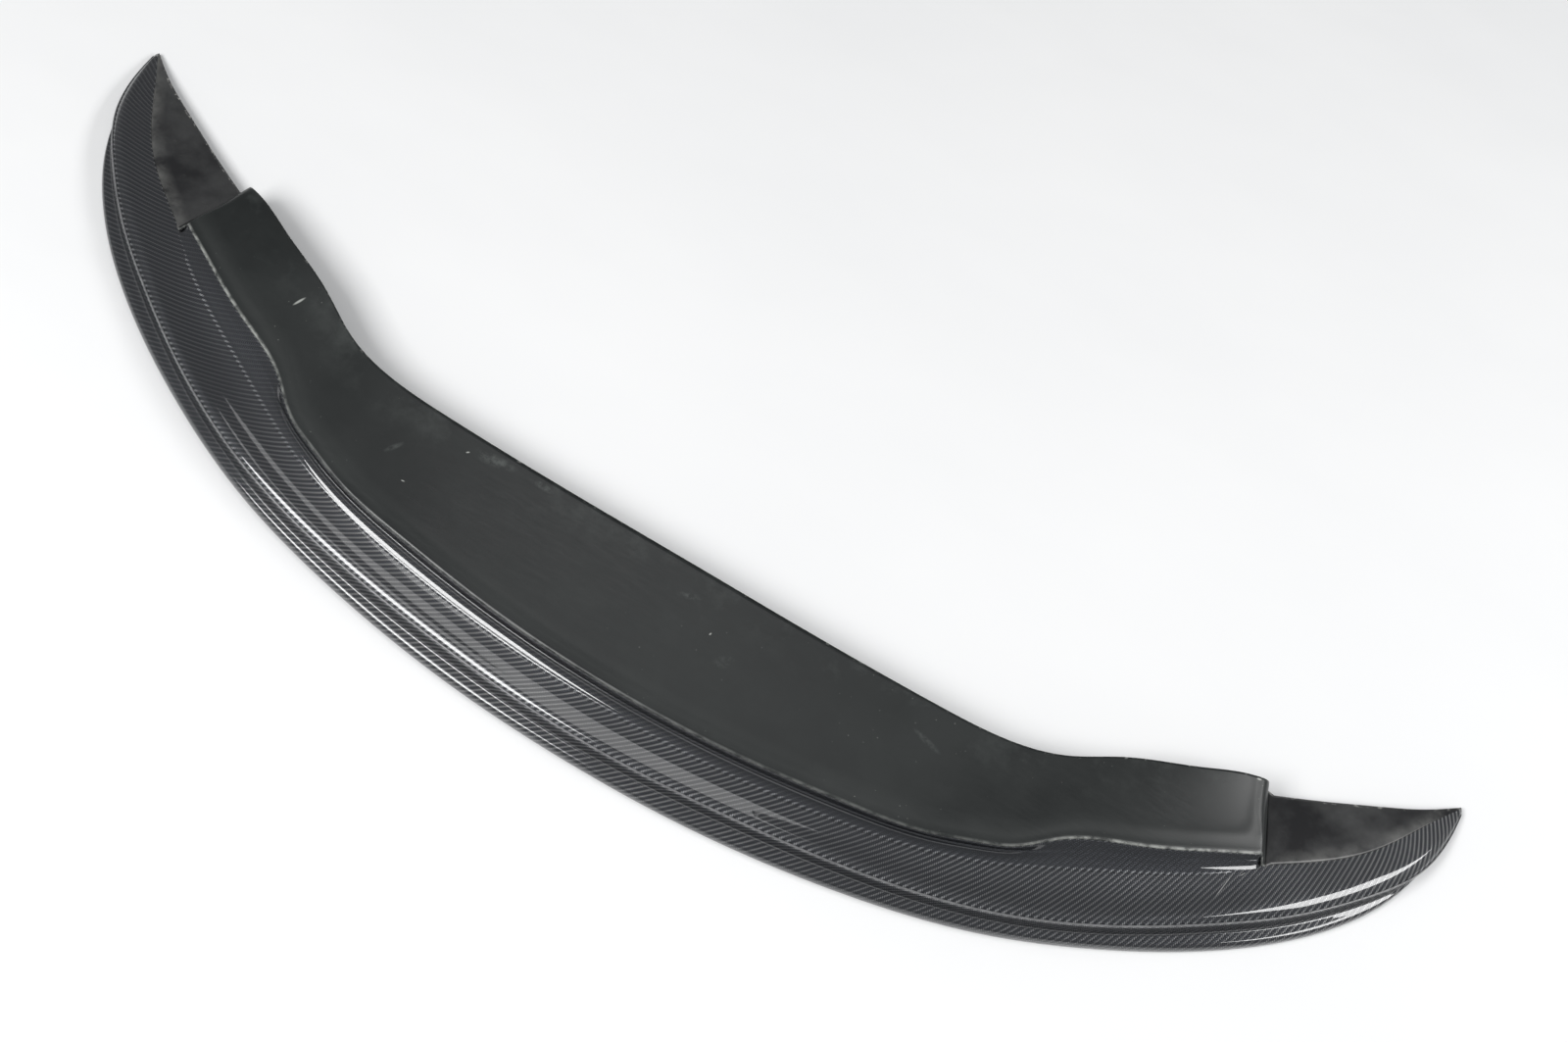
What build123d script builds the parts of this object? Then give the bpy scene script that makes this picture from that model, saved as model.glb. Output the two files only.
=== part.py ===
"""Carbon-fibre front lip of a GT race car: a bonded crescent with a sharp nose, a dished
shelf, a stepped mounting deck and two flat tip pads.

Millimetres. X runs across the car, the nose points along -Y and +Z is up. The origin is on
the ground plane, in the middle of the lip's own box.
"""
import os
from math import atan2, cos, degrees, radians, sin

from build123d import *

os.makedirs("parts", exist_ok=True)

# Laminate and bonding.
SKIN = 2.5
FLOOR = 2.0
BOND = 0.4
PASTE = 1.5
STRIP_HEIGHT = 3.0
BEAD_RADIUS = 1.2
WALL = 2.5

# Shape of the shelf between the ridge and the riser.
SHELF_CROWN = 1.2
SHELF_DISH = 4.0
SHOULDER_WIDTH = 10.0
SHOULDER_RISE = 0.8

# Hidden structure.
SPAR_THICKNESS = 3.0
RIB_THICKNESS = 6.0
RIB_FRONT_DEPTH = 26.0
RIB_REAR_DEPTH = 10.0
RIB_ANGLES = {"inner": 2.5, "middle": 8.0, "outer": 13.5}
BAR_SIZE = 8.0
BAR_INSET = 3.0

# Threaded inserts, M6, in bonded blocks that face the ground.
THREAD_RADIUS = 2.5
INSERT_RADIUS = 5.0
INSERT_LENGTH = 12.0
BLOCK_LENGTH = 46.0
BLOCK_WIDTH = 30.0
BLOCK_CORNER = 4.0
# Name: x, y, underside height and thickness of each pair of blocks.
BLOCKS = {
    "centre": (180.0, -80.0, 36.0, 20.0),
    "hump": (560.0, 35.0, 31.0, 20.0),
    "tip": (720.0, 120.0, 3.0, 13.5),
}

# The cross-sections stand on vertical planes that fan out from a hub behind the lip.
HUB_Y = 2090.0
END_ANGLE = 18.2
TIP_ANGLE = 24.6
BODY_ANGLES = [0.0, 3.5, 7.0, 9.3, 10.8, 12.2, 13.6, 15.8, END_ANGLE]
TIP_ANGLES = [19.6, 21.0, 22.4, 23.6, TIP_ANGLE]
CORE_ANGLES = BODY_ANGLES + [19.6, 21.0]
PAD_START = 18.34

# Rails of the right-hand half, from the centre line to the tip: x, y, z.
BOTTOM = [(0, -240, 0), (144, -234, 0), (308, -210, 0), (455, -170, 0), (566, -120, 0),
          (678, -52, 0), (772, 31, 0), (821, 105, 0), (840, 170, 0), (849, 239, 0)]
RIDGE = [(0, -223, 31), (166, -213, 31), (303, -194, 31), (455, -155, 33), (584, -92, 34),
         (667, -36, 32), (728, 12, 30), (792, 78, 26), (834, 140, 17), (849, 205, 8),
         (850, 240, 4)]
ROOT = [(0, -172, 38), (141, -165, 38), (276, -146, 38), (404, -111, 38), (512, -58, 40),
        (626, 6, 39), (678, 44, 36), (771, 122, 26), (832, 214, 12), (850, 240, 4)]
RISER_TOP = [(0, -167, 60), (156, -159, 60), (271, -143, 60), (358, -124, 58), (405, -105, 57),
             (437, -90, 56), (480, -53, 56), (554, -14, 54), (627, 26, 50), (672, 52, 46)]
DECK_REAR = [(0, -1, 60), (154, -1, 60), (304, 2, 60), (398, 12, 59), (443, 28, 58),
             (494, 58, 60), (571, 95, 58), (621, 120, 52), (648, 129, 46)]
PAD_REAR = [(655, 127, 19), (705, 151, 18), (760, 180, 16), (809, 208, 13), (848, 239, 4)]


def rail(points):
    """The spline through a rail's points and their mirror images."""
    mirrored = [(-x, y, z) for x, y, z in reversed(points) if x > 0]
    with BuildLine() as line:
        Spline(*mirrored, *points)
    return line.edge()


def side_rail(points):
    """The spline through a rail that doesn't cross the centre line."""
    with BuildLine() as line:
        Spline(*points)
    return line.edge()


def fan_angle(point):
    """Angle of the fan plane through a point, in degrees from the centre line."""
    return degrees(atan2(point.X, HUB_Y - point.Y))


def at(curve, angle):
    """Distance from the hub and height where a rail crosses one fan plane."""
    low, high = 0.0, 1.0
    for _ in range(24):
        middle = (low + high) / 2
        if fan_angle(curve @ middle) < angle:
            low = middle
        else:
            high = middle
    point = curve @ low
    return Vector(point.X, point.Y - HUB_Y).length, point.Z


def station(angle):
    """The fan plane at an angle: its x is the distance from the hub and its y is up."""
    turn = radians(angle)
    outward = Vector(sin(turn), -cos(turn), 0)
    return Plane(origin=(0, HUB_Y, 0), x_dir=outward, z_dir=outward.cross(Vector(0, 0, 1)))


def both_sides(angles):
    """The angles of the right-hand half with their mirror images, from left to right."""
    return [-angle for angle in reversed(angles) if angle > 0] + list(angles)


def bow(start, end, *rises):
    """Points from start to end, each (share, rise) lifted off the straight line."""
    points = [start]
    for share, rise in rises:
        x = start[0] + (end[0] - start[0]) * share
        points.append((x, start[1] + (end[1] - start[1]) * share + rise))
    points.append(end)
    return points


def laminate(points, across=0.0, up=0.0):
    """The closed outline of a skin: its face, and the same curve moved to its other side."""
    other = [(x + across, y + up) for x, y in points]
    with BuildLine() as outline:
        Spline(*points)
        Line(points[-1], other[-1])
        Spline(*reversed(other))
        Line(other[0], points[0])
    return outline.edges()


bottom = rail(BOTTOM)
ridge = rail(RIDGE)
root = rail(ROOT)
riser_top = rail(RISER_TOP)
deck_rear = rail(DECK_REAR)
pad_rear = side_rail(PAD_REAR)


def band_outline(angle):
    """Outer face of the nose band: full at the bottom, hollow under the ridge."""
    foot = at(bottom, angle)[0]
    crest, height = at(ridge, angle)
    width = foot - crest
    low = min(STRIP_HEIGHT, height * 0.4)
    middle = (foot - width * 0.10, low + (height - low) * 0.25)
    upper = (foot - width * 0.62, low + (height - low) * 0.62)
    return [(foot, low), middle, upper, (crest, height)]


def shelf_outline(angle):
    """Top face of the shelf: crowned behind the ridge, then dished to the riser."""
    crest, crest_height = at(ridge, angle)
    heel, heel_height = at(root, angle)
    undercut = max(0.0, crest - at(bottom, angle)[0])
    start = (crest - SKIN - BOND - undercut / 3, crest_height)
    fade = max(0.0, 1 - abs(angle) / TIP_ANGLE)
    return bow(start, (heel, heel_height), (0.2, SHELF_CROWN), (0.6, -SHELF_DISH * fade))


def riser_outline(angle):
    """Front face of the riser, from under the shelf's heel to the deck's edge."""
    heel, heel_height = at(root, angle)
    top, top_height = at(riser_top, angle)
    start = (heel - BOND, heel_height - SKIN)
    return [start, ((start[0] + top) / 2, (start[1] + top_height) / 2 - 1), (top, top_height)]


def deck_outline(angle):
    """Top face of the deck, with a soft shoulder behind its front edge."""
    front, front_height = at(riser_top, angle)
    back, back_height = at(deck_rear, angle)
    start = (front - SKIN - BOND, front_height)
    share = SHOULDER_WIDTH / (front - back)
    return bow(start, (back, back_height), (share, SHOULDER_RISE), (0.4, 0.1), (0.7, 0))


def save(part, name):
    """Label a finished piece and write it under its own name."""
    part.label = name
    export_step(part, f"parts/{name}.step")


# The smooth strip along the very bottom edge.
with BuildPart() as edge_strip:
    for angle in both_sides(BODY_ANGLES + TIP_ANGLES):
        with BuildSketch(station(angle)):
            height = band_outline(abs(angle))[0][1] - BOND / 2
            with Locations((at(bottom, abs(angle))[0] - SKIN / 2, height / 2)):
                Rectangle(SKIN, height)
    loft()
save(edge_strip.part, "edge_strip")

# The carbon band between the strip and the ridge.
with BuildPart() as nose_band:
    for angle in both_sides(BODY_ANGLES + TIP_ANGLES):
        with BuildSketch(station(angle)):
            make_face(laminate(band_outline(abs(angle)), across=-SKIN))
    loft()
save(nose_band.part, "nose_band")

# The raised bead on the ridge, where band and shelf meet.
with BuildPart() as ridge_bead:
    for angle in both_sides(BODY_ANGLES + TIP_ANGLES):
        crest, height = at(ridge, abs(angle))
        middle = (crest - SKIN / 2, height)
        with BuildSketch(station(angle)):
            with BuildLine():
                left = (middle[0] - BEAD_RADIUS, height)
                right = (middle[0] + BEAD_RADIUS, height)
                ThreePointArc(left, (middle[0], height + BEAD_RADIUS), right)
                Line(right, left)
            make_face()
    loft()
save(ridge_bead.part, "ridge_bead")

# The dished carbon shelf, from tip to tip.
with BuildPart() as shelf_skin:
    for angle in both_sides(BODY_ANGLES + TIP_ANGLES):
        with BuildSketch(station(angle)):
            make_face(laminate(shelf_outline(abs(angle)), up=-SKIN))
    loft()
save(shelf_skin.part, "shelf_skin")

# The upright wall between shelf and deck.
with BuildPart() as riser_wall:
    for angle in both_sides(BODY_ANGLES):
        with BuildSketch(station(angle)):
            make_face(laminate(riser_outline(abs(angle)), across=-SKIN))
    loft()
save(riser_wall.part, "riser_wall")

# The satin deck that slides under the bumper.
with BuildPart() as deck_panel:
    for angle in both_sides(BODY_ANGLES):
        with BuildSketch(station(angle)):
            make_face(laminate(deck_outline(abs(angle)), up=-SKIN))
    loft()
save(deck_panel.part, "deck_panel")

# The flat floor under the nose, and the foam it closes in.
floor_front = [station(angle).from_local_coords((at(bottom, abs(angle))[0] - SKIN - BOND, 0))
               for angle in both_sides(CORE_ANGLES)]
floor_back = [station(angle).from_local_coords((at(root, abs(angle))[0], 0))
              for angle in both_sides(CORE_ANGLES)]
with BuildPart() as floor_skin:
    with BuildSketch():
        with BuildLine():
            Spline(*floor_front)
            Line(floor_front[-1], floor_back[-1])
            Spline(*reversed(floor_back))
            Line(floor_back[0], floor_front[0])
        make_face()
    extrude(amount=FLOOR)
save(floor_skin.part, "floor_skin")

with BuildPart() as foam_core:
    for angle in both_sides(CORE_ANGLES):
        band = band_outline(abs(angle))
        shelf = shelf_outline(abs(angle))
        back = shelf[-1][0] + SPAR_THICKNESS + BOND
        base = FLOOR + BOND
        front = min(band[0][0], band[-1][0]) - SKIN - PASTE
        heel_top = min(shelf[2][1], shelf[-1][1]) - SKIN - PASTE
        brow_top = shelf[0][1] - SKIN - 2 * PASTE
        with BuildSketch(station(angle)):
            with BuildLine():
                Polyline((front, base), (front, brow_top), (back, heel_top), (back, base),
                         close=True)
            make_face()
    loft()
save(foam_core.part, "foam_core")

# The upright web behind the foam, under the shelf's heel.
with BuildPart() as root_spar:
    for angle in both_sides(CORE_ANGLES):
        heel, heel_height = at(root, abs(angle))
        height = heel_height - SKIN - FLOOR - BOND - PASTE
        with BuildSketch(station(angle)):
            with Locations((heel + SPAR_THICKNESS / 2, FLOOR + BOND + height / 2)):
                Rectangle(SPAR_THICKNESS, height)
    loft()
save(root_spar.part, "root_spar")

# The square bar that stiffens the deck's rear edge.
with BuildPart() as rear_bar:
    for angle in both_sides(BODY_ANGLES[:-1]):
        back, back_height = at(deck_rear, abs(angle))
        with BuildSketch(station(angle)):
            drop = SKIN + PASTE + BAR_SIZE / 2
            with Locations((back + BAR_INSET + BAR_SIZE / 2, back_height - drop)):
                Rectangle(BAR_SIZE, BAR_SIZE)
    loft()
save(rear_bar.part, "rear_bar")

# Tapered ribs under the deck, from the riser to the rear bar.
for place, angle in RIB_ANGLES.items():
    for side, turn in (("left", -angle), ("right", angle)):
        deck = deck_outline(angle)
        foot = min(riser_outline(angle)[0][0], riser_outline(angle)[-1][0])
        front = foot - SKIN - 2
        back = deck[-1][0] + BAR_INSET + BAR_SIZE + 1
        roof = min(deck[0][1], deck[-1][1]) - SKIN - PASTE
        with BuildPart() as rib:
            with BuildSketch(station(turn)):
                with BuildLine():
                    Polyline((front, roof), (front, roof - RIB_FRONT_DEPTH),
                             (back, roof - RIB_REAR_DEPTH), (back, roof), close=True)
                make_face()
            extrude(amount=RIB_THICKNESS / 2, both=True)
        save(rib.part, f"deck_rib_{place}_{side}")

# The end walls of the deck's humps, and the flat pads beyond them.
for side, sign in (("left", -1), ("right", 1)):
    front, front_height = at(riser_top, END_ANGLE)
    back, back_height = at(deck_rear, END_ANGLE)
    heel, heel_height = at(root, END_ANGLE)
    pad_height = PAD_REAR[0][2]
    with BuildPart() as end_wall:
        with BuildSketch(station(sign * (END_ANGLE + 0.05))):
            with BuildLine():
                Polyline((heel - 1, heel_height - SKIN), (front, front_height),
                         (back, back_height), (back, pad_height - SKIN), close=True)
            make_face()
        extrude(amount=-sign * WALL)
    save(end_wall.part, f"end_wall_{side}")

    with BuildPart() as tip_pad:
        for angle in [PAD_START] + TIP_ANGLES[:-1]:
            line, line_height = at(root, angle)
            edge, edge_height = at(pad_rear, angle)
            outline = bow((line - BOND, line_height), (edge, edge_height), (0.5, 0.5))
            with BuildSketch(station(sign * angle)):
                make_face(laminate(outline, up=-SKIN))
        loft()
    save(tip_pad.part, f"tip_pad_{side}")

# Bonded blocks with a blind pocket in the underside for each threaded insert.
for place, (x, y, base, thickness) in BLOCKS.items():
    for side, sign in (("left", -1), ("right", 1)):
        with BuildPart() as block:
            with BuildSketch(Plane.XY.offset(base)):
                with Locations((sign * x, y)):
                    RectangleRounded(BLOCK_LENGTH, BLOCK_WIDTH, BLOCK_CORNER)
            extrude(amount=thickness)
            with BuildSketch(Plane.XY.offset(base)):
                with Locations((sign * x, y)):
                    Circle(INSERT_RADIUS)
            extrude(amount=INSERT_LENGTH, mode=Mode.SUBTRACT)
        save(block.part, f"{place}_block_{side}")

# Six identical inserts, open at the underside.
with BuildPart() as threaded_inserts:
    for x, y, base, thickness in BLOCKS.values():
        with BuildSketch(Plane.XY.offset(base)):
            with Locations((-x, y), (x, y)):
                Circle(INSERT_RADIUS)
                Circle(THREAD_RADIUS, mode=Mode.SUBTRACT)
        extrude(amount=INSERT_LENGTH)
save(threaded_inserts.part, "threaded_inserts")
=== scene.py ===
"""Studio scene of the carbon-fibre front lip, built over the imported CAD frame."""
import math

import bpy
import numpy as np
from mathutils import Matrix, Vector


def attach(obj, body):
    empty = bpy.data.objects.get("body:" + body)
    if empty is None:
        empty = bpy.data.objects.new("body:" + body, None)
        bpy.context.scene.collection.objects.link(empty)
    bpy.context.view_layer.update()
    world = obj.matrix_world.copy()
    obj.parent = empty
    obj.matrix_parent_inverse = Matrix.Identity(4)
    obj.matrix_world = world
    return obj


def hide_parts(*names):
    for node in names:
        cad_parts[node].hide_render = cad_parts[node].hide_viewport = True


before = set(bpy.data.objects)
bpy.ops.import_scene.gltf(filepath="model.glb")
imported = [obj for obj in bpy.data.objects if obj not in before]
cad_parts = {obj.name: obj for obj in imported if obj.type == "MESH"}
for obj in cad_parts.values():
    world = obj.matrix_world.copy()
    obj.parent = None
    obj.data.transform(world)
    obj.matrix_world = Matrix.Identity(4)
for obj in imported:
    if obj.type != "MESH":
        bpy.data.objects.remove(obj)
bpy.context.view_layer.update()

MM = 0.001

# Laminate.
SKIN = 1.6
STRIP_HEIGHT = 3.0
STRIP_RADIUS = 2.0
BEAD_RADIUS = 1.1

# Sections.
HUB_Y = 2090.0
END_ANGLE = 18.2
TIP_ANGLE = 24.55
STEP_ANGLE = 0.11
SHELF_DISH = 3.4
RIDGE_ROLL = 9.0
TIP_ROLL = 20.0
RIDGE_SLOPE = 0.8
ROOT_FILLET = 11.0
EDGE_RADIUS = 2.4
CREASE_DEPTH = 3.2
CREASE_STEP = 0.5
BORDER_INSET = 15.0
BORDER_WIDTH = 5.5
BORDER_RISE = 0.35
BORDER_BLEND = 6.0
FRONT_SHOULDER = 3.5
REAR_SHOULDER = 13.0
FOOT_FILLET = 5.0

# Fan angles, in degrees, where the tip's roll and the hump's border begin, and their blends.
TIP_START = 15.0
TIP_BLEND = 5.0
HUMP_START = 12.5
HUMP_BLEND = 2.5

# The deck's rounded ends: width in degrees, and steps along the flank and over the shoulder.
FLANK_ANGLE = 1.2
FLANK_STEPS = 11
SHOULDER_STEPS = 9

# Square bar under the deck's rear edge: millimetres, and the fan angle where it ends. Its end
# rings lie a cap angle further out and are smaller, and a low power makes its section square.
BAR_SIZE = 8.0
BAR_INSET = 3.0
BAR_DROP = 4.0
BAR_END = 15.8
BAR_CAP_ANGLE = BAR_END / 60
BAR_CAP_SIZE = 0.8
BAR_POWER = 0.35

# Cloth.
TOW = 1.78
STEER = 0.15
TOW_OFFSET = math.radians(-4.5)

# Rails of the right-hand half, as in the CAD model: x, y, z in millimetres. They come from a
# least-squares fit to the photo, rounded to whole millimetres.
BOTTOM = [(0, -240, 0), (144, -234, 0), (308, -210, 0), (455, -170, 0), (566, -120, 0),
          (678, -52, 0), (772, 31, 0), (821, 105, 0), (840, 170, 0), (849, 239, 0)]
RIDGE = [(0, -223, 31), (166, -213, 31), (303, -194, 31), (455, -155, 33), (584, -92, 34),
         (667, -36, 32), (728, 12, 30), (792, 78, 26), (834, 140, 17), (849, 205, 8),
         (850, 240, 4)]
ROOT = [(0, -172, 38), (141, -165, 38), (276, -146, 38), (404, -111, 38), (512, -58, 40),
        (626, 6, 39), (678, 44, 36), (771, 122, 26), (832, 214, 12), (850, 240, 4)]
RISER_TOP = [(0, -167, 60), (156, -159, 60), (271, -143, 60), (358, -124, 58), (405, -105, 57),
             (437, -90, 56), (480, -53, 56), (554, -14, 54), (627, 26, 50), (672, 52, 46)]
DECK_REAR = [(0, -1, 60), (154, -1, 60), (304, 2, 60), (398, 12, 59), (443, 28, 58),
             (494, 58, 60), (571, 95, 58), (621, 120, 52), (648, 129, 46)]
PAD_REAR = [(655, 127, 19), (705, 151, 18), (760, 180, 16), (809, 208, 13), (848, 239, 4)]


# ---------------------------------------------------------------- curves

def cubic(points, count):
    """A natural cubic spline through points, sampled evenly along its chords."""
    points = np.array(points, float)
    knots = np.r_[0, np.cumsum(np.linalg.norm(np.diff(points, axis=0), axis=1))]
    step = np.diff(knots)
    size = len(points)
    system = np.eye(size)
    right = np.zeros_like(points)
    slope = np.diff(points, axis=0) / step[:, None]
    for i in range(1, size - 1):
        system[i, i - 1:i + 2] = step[i - 1], 2 * (step[i - 1] + step[i]), step[i]
        right[i] = 6 * (slope[i] - slope[i - 1])
    bend = np.linalg.solve(system, right)
    at = np.linspace(0, knots[-1], count)
    i = np.clip(np.searchsorted(knots, at, side="right") - 1, 0, size - 2)
    h = step[i][:, None]
    a = (knots[i + 1] - at)[:, None] / h
    b = (at - knots[i])[:, None] / h
    return (a * points[i] + b * points[i + 1]
            + ((a ** 3 - a) * bend[i] + (b ** 3 - b) * bend[i + 1]) * h ** 2 / 6)


class Rail:
    """A rail of the lip, looked up by the angle of the fan plane that crosses it."""

    def __init__(self, points, mirrored=True):
        if mirrored:
            points = [(-x, y, z) for x, y, z in reversed(points) if x > 0] + list(points)
        self.line = cubic(points, 4000)
        self.angle = np.degrees(np.arctan2(self.line[:, 0], HUB_Y - self.line[:, 1]))
        self.reach = np.hypot(self.line[:, 0], HUB_Y - self.line[:, 1])

    def at(self, angle):
        """Distance from the hub and height at a fan angle."""
        return np.interp(angle, self.angle, self.reach), np.interp(angle, self.angle,
                                                                   self.line[:, 2])


bottom = Rail(BOTTOM)
ridge = Rail(RIDGE)
root = Rail(ROOT)
riser_top = Rail(RISER_TOP)
deck_rear = Rail(DECK_REAR)
pad_rear = Rail(PAD_REAR, mirrored=False)


def place(angle, reach, height):
    """Points of a fan plane in space."""
    turn = np.radians(angle)
    return np.stack([reach * np.sin(turn), HUB_Y - reach * np.cos(turn),
                     height + 0 * reach], axis=-1)


def mix(a, b, t):
    return a + (b - a) * t


def ease(t):
    """A smooth step from 0 to 1."""
    t = np.clip(t, 0, 1)
    return t * t * (3 - 2 * t)


# ---------------------------------------------------------------- sections

def along(points, count):
    """A cubic curve through section points, resampled for every fan angle at once.

    points is a list of (reach, height) pairs of arrays, one value for each angle.
    """
    stack = np.stack([np.stack(np.broadcast_arrays(*p), axis=-1) for p in points])
    flat = stack.reshape(len(points), -1)
    return np.moveaxis(cubic_even(flat, count).reshape(count, -1, 2), 0, 1)


def cubic_even(points, count):
    """A natural cubic spline with evenly spaced knots."""
    size = len(points)
    system = np.eye(size)
    right = np.zeros_like(points)
    for i in range(1, size - 1):
        system[i, i - 1:i + 2] = 1, 4, 1
        right[i] = 6 * (points[i + 1] - 2 * points[i] + points[i - 1])
    bend = np.linalg.solve(system, right)
    at = np.linspace(0, size - 1, count)
    i = np.clip(at.astype(int), 0, size - 2)
    b = (at - i)[:, None]
    a = 1 - b
    return (a * points[i] + b * points[i + 1]
            + ((a ** 3 - a) * bend[i] + (b ** 3 - b) * bend[i + 1]) / 6)


def corner(start, control, end, count):
    """A rounded corner: a quadratic curve from start to end, pulled to control."""
    t = np.linspace(0, 1, count)[None, :, None]
    a, b, c = (np.stack(np.broadcast_arrays(*p), axis=-1)[:, None, :] for p in
               (start, control, end))
    return (1 - t) ** 2 * a + 2 * t * (1 - t) * b + t ** 2 * c


def joined(*runs):
    """Section runs end to end, without their doubled points."""
    return np.concatenate([runs[0]] + [run[:, 1:] for run in runs[1:]], axis=1)


def strip_section(angle):
    """The smooth edge, rounded under into the floor."""
    foot, _ = bottom.at(angle)
    low = edge_height(angle)
    under = np.minimum(STRIP_RADIUS, low * 0.6)
    return joined(corner((foot - 6, 0 * foot), (foot - 4, 0 * foot), (foot - under, 0 * foot), 5),
                  corner((foot - under, 0 * foot), (foot, 0 * foot), (foot, low), 7))


def edge_height(angle):
    """Height of the smooth edge, which thins towards the tips."""
    return np.minimum(STRIP_HEIGHT, ridge.at(angle)[1] * 0.4)


def band_section(angle):
    """Bulge, groove and flare, from the smooth edge up to the ridge."""
    foot, _ = bottom.at(angle)
    crest, top = ridge.at(angle)
    low = edge_height(angle)
    width = foot - crest
    rise = top - low
    return along([(foot, low),
                  (foot - 0.03 * width, low + 0.15 * rise),
                  (foot - 0.15 * width, low + 0.27 * rise),
                  (foot - 0.31 * width, low + 0.33 * rise),
                  (foot - 0.48 * width, low + 0.35 * rise),
                  (foot - 0.66 * width, low + 0.37 * rise),
                  (foot - 0.81 * width, low + 0.425 * rise),
                  (foot - 0.93 * width, low + 0.65 * rise),
                  (crest, top - 0.6)], 49)


def bead_section(angle):
    """The thin raised bead on the ridge."""
    crest, top = ridge.at(angle)
    radius = BEAD_RADIUS * np.clip(top / 8, 0.5, 1)
    turn = np.linspace(-0.25, 1.1, 9)[None, :] * math.pi
    reach = crest[:, None] - radius[:, None] + radius[:, None] * np.cos(turn)
    height = top[:, None] - 0.2 + radius[:, None] * np.sin(turn)
    return np.stack([reach, height], axis=-1)


def shelf_section(angle):
    """The shelf: rolled up from the ridge, then dished to the riser or the pad."""
    crest, top = ridge.at(angle)
    heel, low = root.at(angle)
    start = crest - 2 * BEAD_RADIUS
    t = (np.linspace(0, 1, 49) ** 1.3)[None, :]
    reach = mix(start[:, None], heel[:, None], t)
    height = mix((top - 0.2)[:, None], low[:, None], t)
    run = (start - heel)[:, None]
    outer = ease((np.abs(angle) - TIP_START) / TIP_BLEND)[:, None]
    roll = np.minimum(mix(RIDGE_ROLL, TIP_ROLL, outer), run * 0.6)
    inside = np.clip(1 - run * t / roll, 0, 1)
    fade = mix(1 - ease((t - 0.1) / 0.75), 1 - t, outer)
    lifted = RIDGE_SLOPE * roll / 2 * (1 - inside ** 2) * fade
    dish = SHELF_DISH * np.minimum(run / 40, 1) * np.sin(math.pi * np.clip(t, 0, 1)) ** 1.5
    height = height + lifted - dish * (1 - outer)
    return np.stack([reach, height], axis=-1)


def riser_frame(angle):
    """Root and top corners of the riser, and the unit vector from one to the other."""
    heel, low = root.at(angle)
    edge, top = riser_top.at(angle)
    length = np.hypot(edge - heel, top - low)
    return heel, low, edge, top, (edge - heel) / length, (top - low) / length


def riser_section(angle):
    """Fillet, wall and crease of the riser."""
    heel, low, edge, top, across, up = riser_frame(angle)
    fillet = np.minimum(ROOT_FILLET, (top - low) * 0.62)
    slope = 0.12
    foot = corner((heel + fillet, low - fillet * slope), (heel, low),
                  (heel + across * fillet, low + up * fillet), 7)
    crease = np.minimum(CREASE_DEPTH, (top - low) * 0.25)
    wall_end = (edge - across * crease, top - up * crease)
    wall = along([(heel + across * fillet, low + up * fillet),
                  (mix(heel, edge, 0.5) - 0.5, mix(low, top, 0.5)), wall_end], 9)
    step = along([wall_end, (wall_end[0] - CREASE_STEP * up, wall_end[1] + 0.4 * CREASE_STEP),
                  (wall_end[0] - CREASE_STEP * up * 0.9, wall_end[1] + CREASE_STEP * 1.2)], 4)
    lip = along([(step[:, -1, 0], step[:, -1, 1]),
                 (edge - across * EDGE_RADIUS, top - up * EDGE_RADIUS)], 3)
    return joined(foot, wall, step, lip)


def deck_section(angle):
    """The rolled front edge and the flat of the deck, to its trimmed rear edge."""
    edge, top = riser_top.at(angle)
    back, rear = deck_rear.at(angle)
    across, up = riser_frame(angle)[4:]
    roll = corner((edge - across * EDGE_RADIUS, top - up * EDGE_RADIUS), (edge, top),
                  (edge - EDGE_RADIUS * 1.5, top + 0.25), 6)
    t = (np.linspace(0, 1, 46) ** 1.35)[None, :]
    start = (edge - EDGE_RADIUS * 1.5)[:, None]
    reach = mix(start, back[:, None], t)
    depth = start - reach
    height = mix(top[:, None] + 0.25, rear[:, None], ease(t * 0.9) / ease(0.9))
    height = height + 1.1 * ease(depth / 16) - 1.1 * ease(t)
    from_end = np.radians(END_ANGLE - np.abs(angle))[:, None] * reach
    gap = -BORDER_BLEND * np.log(np.exp(-depth / BORDER_BLEND) + np.exp(-from_end / BORDER_BLEND))
    hump = ease((np.abs(angle) - HUMP_START) / HUMP_BLEND)[:, None]
    height = height + hump * BORDER_RISE * np.exp(-((gap - BORDER_INSET) / BORDER_WIDTH) ** 2)
    flat = np.stack([reach, height], axis=-1)
    return joined(roll, flat)


# ---------------------------------------------------------------- cloth

def cloth_field():
    """Arc length of the ridge, its plan line, and how far the tows lag behind its turn."""
    line = ridge.line[:, :2]
    arc = np.r_[0, np.cumsum(np.linalg.norm(np.diff(line, axis=0), axis=1))]
    arc = arc - arc[len(arc) // 2]
    turn = np.unwrap(np.arctan2(*np.gradient(line, axis=0).T[::-1]))
    lag = np.tan(TOW_OFFSET - STEER * turn)
    drift = np.r_[0, np.cumsum(lag[1:] * np.diff(arc))]
    return line, arc, turn, lag, drift - drift[len(drift) // 2]


RIDGE_LINE, RIDGE_ARC, RIDGE_TURN, TOW_LAG, TOW_DRIFT = cloth_field()


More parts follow.
